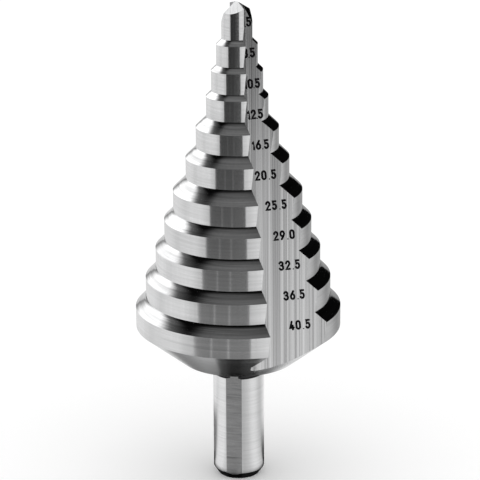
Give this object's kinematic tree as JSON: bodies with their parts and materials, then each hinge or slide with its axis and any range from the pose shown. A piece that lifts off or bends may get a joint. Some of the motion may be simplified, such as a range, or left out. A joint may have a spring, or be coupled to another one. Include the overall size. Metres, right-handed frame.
{
  "type": "step drill",
  "caption": "Straight-fluted step drill in bright ground steel, with stacked cutting diameters that grow downwards, a split point and a round shank with flats.",
  "frame": {"origin": "centre of the shank's end face, on the drill's axis", "axes": "+Z along the drill's axis towards its point; -Y faces the flute wall with the numerals; the front cutting edge is 16.8 degrees from -Y towards +X"},
  "size_m": [0.0398, 0.0404, 0.0956],
  "materials": {
    "steel": "ground"
  },
  "bodies": {
    "root": {"step_drill": "steel"}
  },
  "joints": []
}
